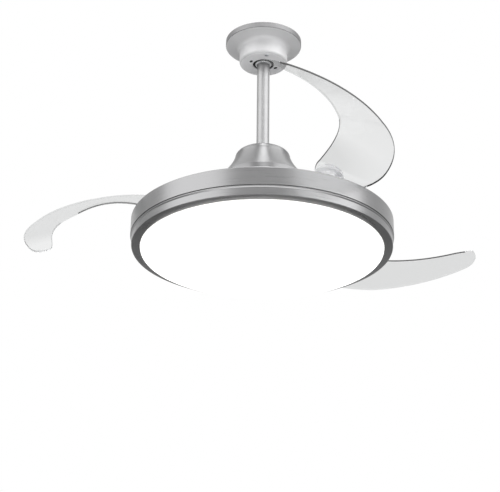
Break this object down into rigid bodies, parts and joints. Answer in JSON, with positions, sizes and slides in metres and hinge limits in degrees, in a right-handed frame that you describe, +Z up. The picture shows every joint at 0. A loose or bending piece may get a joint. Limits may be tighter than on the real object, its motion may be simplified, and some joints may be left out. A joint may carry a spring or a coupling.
{
  "type": "retractable blade ceiling fan",
  "caption": "Ceiling fan with a round lamp drum under a domed motor cover; clear curved blades swing out on geared pivots and fold back over the drum. Down rod, hanger ball and canopy.",
  "frame": {"origin": "centre of the hanger bracket's upper face, which lies against the ceiling", "axes": "+Z up into the ceiling along the down rod; +X to the right and +Y away from the viewer in the picture"},
  "size_m": [0.9299, 0.8943, 0.4714],
  "materials": {
    "painted_silver": "satin metallic silver",
    "steel": "zinc plated",
    "cast_aluminium": "as cast",
    "clear_blade": "clear, polished",
    "opal_diffuser": "opal, lit from behind",
    "white_plastic": "moulded",
    "painted_white": "powder coated",
    "grey_plastic": "moulded",
    "dark_plastic": "moulded",
    "rubber": "matte",
    "copper": "enamelled wire",
    "lamination": "stacked sheet",
    "magnet": "sintered"
  },
  "bodies": {
    "ceiling_mount": {"ceiling_bracket": "steel", "canopy": "painted_silver", "canopy_screw_1": "steel", "canopy_screw_2": "steel", "terminal_block": "white_plastic"},
    "swivel_ring": {"seat_ring": "grey_plastic"},
    "hanging": {"hanger_ball": "grey_plastic", "ball_pin": "steel", "downrod": "painted_silver", "coupling": "cast_aluminium", "rod_pin": "steel", "pin_clip": "steel", "set_screw_1": "steel", "set_screw_2": "steel", "bell_cover": "painted_silver", "motor_shaft": "steel", "stator_core": "lamination", "stator_windings": "copper", "shaft_nut": "steel", "lamp_body": "painted_silver", "led_board": "white_plastic", "led_driver": "white_plastic", "remote_receiver": "dark_plastic"},
    "rotor": {"rotor_upper_shell": "cast_aluminium", "rotor_lower_shell": "cast_aluminium", "upper_bearing": "steel", "lower_bearing": "steel", "magnet_ring": "magnet", "rotor_hub": "cast_aluminium", "blade_tray": "painted_silver", "pivot_post_1": "steel", "pivot_post_2": "steel", "pivot_post_3": "steel", "pivot_nut_1": "steel", "pivot_nut_2": "steel", "pivot_nut_3": "steel", "return_spring_1": "steel", "return_spring_2": "steel", "return_spring_3": "steel", "stop_bumper_1": "rubber", "stop_bumper_2": "rubber", "stop_bumper_3": "rubber"},
    "gear_ring": {"sync_ring": "grey_plastic"},
    "lamp_cover": {"trim_ring": "painted_silver", "diffuser": "opal_diffuser"},
    "blade_arm_1": {"blade_1": "clear_blade", "blade_holder_1": "white_plastic", "blade_clamp_1": "painted_white", "pivot_bush_1": "white_plastic"},
    "blade_arm_2": {"blade_2": "clear_blade", "blade_holder_2": "white_plastic", "blade_clamp_2": "painted_white", "pivot_bush_2": "white_plastic"},
    "blade_arm_3": {"blade_3": "clear_blade", "blade_holder_3": "white_plastic", "blade_clamp_3": "painted_white", "pivot_bush_3": "white_plastic"}
  },
  "joints": [
    {"name": "hanger_swing_x", "type": "hinge", "parent": "ceiling_mount", "child": "swivel_ring", "pos_m": [0, 0, -0.037], "axis": [1, 0, 0], "range_deg": [-4, 4]},
    {"name": "hanger_swing_y", "type": "hinge", "parent": "swivel_ring", "child": "hanging", "pos_m": [0, 0, -0.037], "axis": [0, 1, 0], "range_deg": [-4, 4]},
    {"name": "rotor_spin", "type": "hinge", "parent": "hanging", "child": "rotor", "pos_m": [0, 0, -0.35], "axis": [0, 0, 1], "continuous": true},
    {"name": "gear_ring_turn", "type": "hinge", "parent": "rotor", "child": "gear_ring", "pos_m": [0, 0, -0.407], "axis": [0, 0, 1], "range_deg": [0, 36.1]},
    {"name": "blade_1_fold", "type": "hinge", "parent": "rotor", "child": "blade_arm_1", "pos_m": [0.07783, 0.18424, -0.4], "axis": [0, 0, 1], "range_deg": [-84.2, 0]},
    {"name": "blade_2_fold", "type": "hinge", "parent": "rotor", "child": "blade_arm_2", "pos_m": [-0.19847, -0.02472, -0.4], "axis": [0, 0, 1], "range_deg": [-84.2, 0]},
    {"name": "blade_3_fold", "type": "hinge", "parent": "rotor", "child": "blade_arm_3", "pos_m": [0.12064, -0.15952, -0.4], "axis": [0, 0, 1], "range_deg": [-84.2, 0]},
    {"name": "lamp_cover_twist", "type": "hinge", "parent": "hanging", "child": "lamp_cover", "pos_m": [0, 0, -0.458], "axis": [0, 0, 1], "range_deg": [-22, 0]}
  ],
  "couplings": [
    {"joint": "gear_ring_turn", "follows": "blade_1_fold", "ratio": -0.42857},
    {"joint": "blade_2_fold", "follows": "blade_1_fold", "ratio": 1},
    {"joint": "blade_3_fold", "follows": "blade_1_fold", "ratio": 1}
  ]
}
